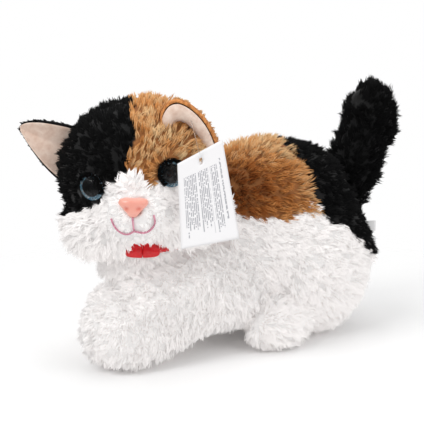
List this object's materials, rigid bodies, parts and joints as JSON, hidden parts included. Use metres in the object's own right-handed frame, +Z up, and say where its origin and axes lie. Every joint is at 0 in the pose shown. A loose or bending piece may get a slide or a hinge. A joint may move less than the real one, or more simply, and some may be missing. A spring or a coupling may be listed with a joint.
{
  "type": "interactive plush pet",
  "caption": "Crouching plush kitten, head turned to its left, with geared swinging forelegs, turning and nodding head, wagging tail and touch buttons around an inner mechanism case.",
  "frame": {"origin": "on the floor, under the middle of the toy's bounding box", "axes": "+Z up, -Y the way the body faces, +X the kitten's own left side"},
  "size_m": [0.198, 0.3864, 0.243],
  "materials": {
    "white_plush": "soft long-pile white plush, matte",
    "black_plush": "soft long-pile black plush, matte",
    "ear_velour": "short-pile peach velour",
    "satin_ribbon": "red satin ribbon with a slight sheen",
    "thread": "pink embroidery thread",
    "label_cloth": "woven label tape, blank",
    "nose_plastic": "glossy salmon-pink moulding",
    "eye_black": "glossy black moulding",
    "eye_glitter": "blue-teal glitter foil under the dome",
    "eye_clear": "clear polished acrylic dome",
    "washer_plastic": "natural nylon",
    "card": "white coated card",
    "loop_plastic": "clear-white polypropylene loop",
    "case_plastic": "ivory ABS, fine moulded texture",
    "frame_plastic": "dark grey ABS",
    "gear_plastic": "white acetal",
    "bush_brass": "turned brass",
    "shaft_steel": "bright steel",
    "motor_steel": "plated steel can",
    "screw_steel": "zinc-plated steel",
    "cell_jacket": "plain dark battery jacket",
    "contact_metal": "nickel-plated spring steel",
    "board_green": "green glass-fibre board",
    "speaker_black": "black paper cone and basket",
    "switch_black": "black nylon",
    "wire_red": "red insulated wire"
  },
  "bodies": {
    "torso": {"back_button_spring": "contact_metal", "battery_cells": "cell_jacket", "battery_contacts": "contact_metal", "case_lower": "case_plastic", "case_screws": "screw_steel", "case_upper": "case_plastic", "circuit_board": "board_green", "collar_ribbon": "satin_ribbon", "gear_axles": "shaft_steel", "gear_motors": "motor_steel", "hind_leg_left": "white_plush", "hind_leg_right": "white_plush", "leg_motor": "motor_steel", "power_switch": "switch_black", "shaft_bushes": "bush_brass", "shoulder_axle": "shaft_steel", "side_label": "label_cloth", "speaker": "speaker_black", "torso_plush": "white_plush", "wiring_loom": "wire_red"},
    "neck": {"neck_post": "frame_plastic", "neck_gear": "gear_plastic"},
    "head": {"head_plush": "white_plush", "ear_right": "black_plush", "ear_right_lining": "ear_velour", "ear_left": "black_plush", "ear_left_lining": "ear_velour", "nose": "nose_plastic", "mouth_thread": "thread", "eye_backs": "eye_black", "eye_glitter": "eye_glitter", "eye_lenses": "eye_clear", "eye_washers": "washer_plastic", "skull_front": "case_plastic", "skull_rear": "case_plastic", "nod_pin": "shaft_steel", "head_button_spring": "contact_metal", "tag_loop": "loop_plastic"},
    "head_touch": {"head_button": "frame_plastic"},
    "tag": {"hang_tag": "card"},
    "foreleg_left": {"foreleg_plush_left": "white_plush", "foreleg_bone_left": "frame_plastic", "foreleg_gear_left": "gear_plastic"},
    "foreleg_right": {"foreleg_plush_right": "white_plush", "foreleg_bone_right": "frame_plastic", "foreleg_gear_right": "gear_plastic"},
    "transfer_left": {"transfer_gear_left": "gear_plastic"},
    "transfer_right": {"transfer_gear_right": "gear_plastic"},
    "reduction": {"reduction_gear": "gear_plastic"},
    "leg_pinion": {"leg_motor_pinion": "bush_brass"},
    "head_pinion": {"head_turn_pinion": "bush_brass"},
    "tail": {"tail_plush": "black_plush", "tail_armature": "frame_plastic", "tail_gear": "gear_plastic"},
    "tail_drive": {"tail_pinion": "bush_brass"},
    "back_touch": {"back_button": "frame_plastic"},
    "switch_slider": {"power_switch_slider": "switch_black"},
    "door": {"battery_door": "case_plastic", "battery_door_screw": "screw_steel"}
  },
  "joints": [
    {"name": "head_turn", "type": "hinge", "parent": "torso", "child": "neck", "pos_m": [-0.01905, -0.0918, 0.1], "axis": [0, 0, 1], "range_deg": [-114, 4], "stiffness_Nm_per_rad": 0.3},
    {"name": "head_nod", "type": "hinge", "parent": "neck", "child": "head", "pos_m": [-0.01905, -0.0918, 0.14], "axis": [-0.5364, -0.8259, -0.1736], "range_deg": [0, 14], "stiffness_Nm_per_rad": 4},
    {"name": "foreleg_left_swing", "type": "hinge", "parent": "torso", "child": "foreleg_left", "pos_m": [-0.01905, -0.0528, 0.054], "axis": [1, 0, 0], "range_deg": [-8, 14], "stiffness_Nm_per_rad": 4},
    {"name": "foreleg_right_swing", "type": "hinge", "parent": "torso", "child": "foreleg_right", "pos_m": [-0.01905, -0.0528, 0.054], "axis": [1, 0, 0], "range_deg": [-14.5, 8.5]},
    {"name": "transfer_left_spin", "type": "hinge", "parent": "torso", "child": "transfer_left", "pos_m": [-0.01905, -0.03574, 0.0628], "axis": [1, 0, 0], "range_deg": [-42.5, 24.5]},
    {"name": "transfer_right_spin", "type": "hinge", "parent": "torso", "child": "transfer_right", "pos_m": [-0.01905, -0.03574, 0.0452], "axis": [1, 0, 0], "range_deg": [-24.5, 42.5]},
    {"name": "reduction_spin", "type": "hinge", "parent": "torso", "child": "reduction", "pos_m": [-0.01905, -0.02296, 0.05815], "axis": [1, 0, 0], "range_deg": [-44.5, 77.5]},
    {"name": "leg_pinion_spin", "type": "hinge", "parent": "torso", "child": "leg_pinion", "pos_m": [-0.01905, -0.00878, 0.05565], "axis": [1, 0, 0], "range_deg": [-200.7, 114.9]},
    {"name": "head_pinion_spin", "type": "hinge", "parent": "torso", "child": "head_pinion", "pos_m": [-0.01905, -0.0726, 0.065], "axis": [0, 0, 1], "range_deg": [-12.5, 342.5]},
    {"name": "tail_wag", "type": "hinge", "parent": "torso", "child": "tail", "pos_m": [-0.01905, 0.1092, 0.112], "axis": [0, 1, 0], "range_deg": [-18, 18], "stiffness_Nm_per_rad": 1},
    {"name": "tail_pinion_spin", "type": "hinge", "parent": "torso", "child": "tail_drive", "pos_m": [-0.01905, 0.0912, 0.0928], "axis": [0, 1, 0], "range_deg": [-54.5, 54.5]},
    {"name": "back_button_press", "type": "slide", "parent": "torso", "child": "back_touch", "axis": [0, 0, -1], "range_m": [0, 0.002], "stiffness_N_per_m": 300, "deforming": ["back_button_spring"]},
    {"name": "head_button_press", "type": "slide", "parent": "head", "child": "head_touch", "axis": [0.0946, 0.1456, -0.9848], "range_m": [0, 0.001], "stiffness_N_per_m": 300, "deforming": ["head_button_spring"]},
    {"name": "power_switch_slide", "type": "slide", "parent": "torso", "child": "switch_slider", "axis": [1, 0, 0], "range_m": [0, 0.004], "stiffness_N_per_m": 50},
    {"name": "battery_door_lift_off", "type": "slide", "parent": "torso", "child": "door", "axis": [0, 0, -1], "range_m": [0, 0.01], "stiffness_N_per_m": 400},
    {"name": "tag_swing", "type": "hinge", "parent": "head", "child": "tag", "pos_m": [0.07395, -0.0818, 0.183], "axis": [0.8529, -0.4924, 0.1736], "range_deg": [-10, 10], "stiffness_Nm_per_rad": 0.02}
  ],
  "couplings": [
    {"joint": "foreleg_right_swing", "follows": "foreleg_left_swing", "ratio": -1},
    {"joint": "transfer_left_spin", "follows": "foreleg_left_swing", "ratio": -3},
    {"joint": "transfer_right_spin", "follows": "foreleg_left_swing", "ratio": 3},
    {"joint": "reduction_spin", "follows": "foreleg_left_swing", "ratio": 5.5},
    {"joint": "leg_pinion_spin", "follows": "foreleg_left_swing", "ratio": -14.3},
    {"joint": "head_pinion_spin", "follows": "head_turn", "ratio": -3},
    {"joint": "tail_pinion_spin", "follows": "tail_wag", "ratio": -3}
  ]
}
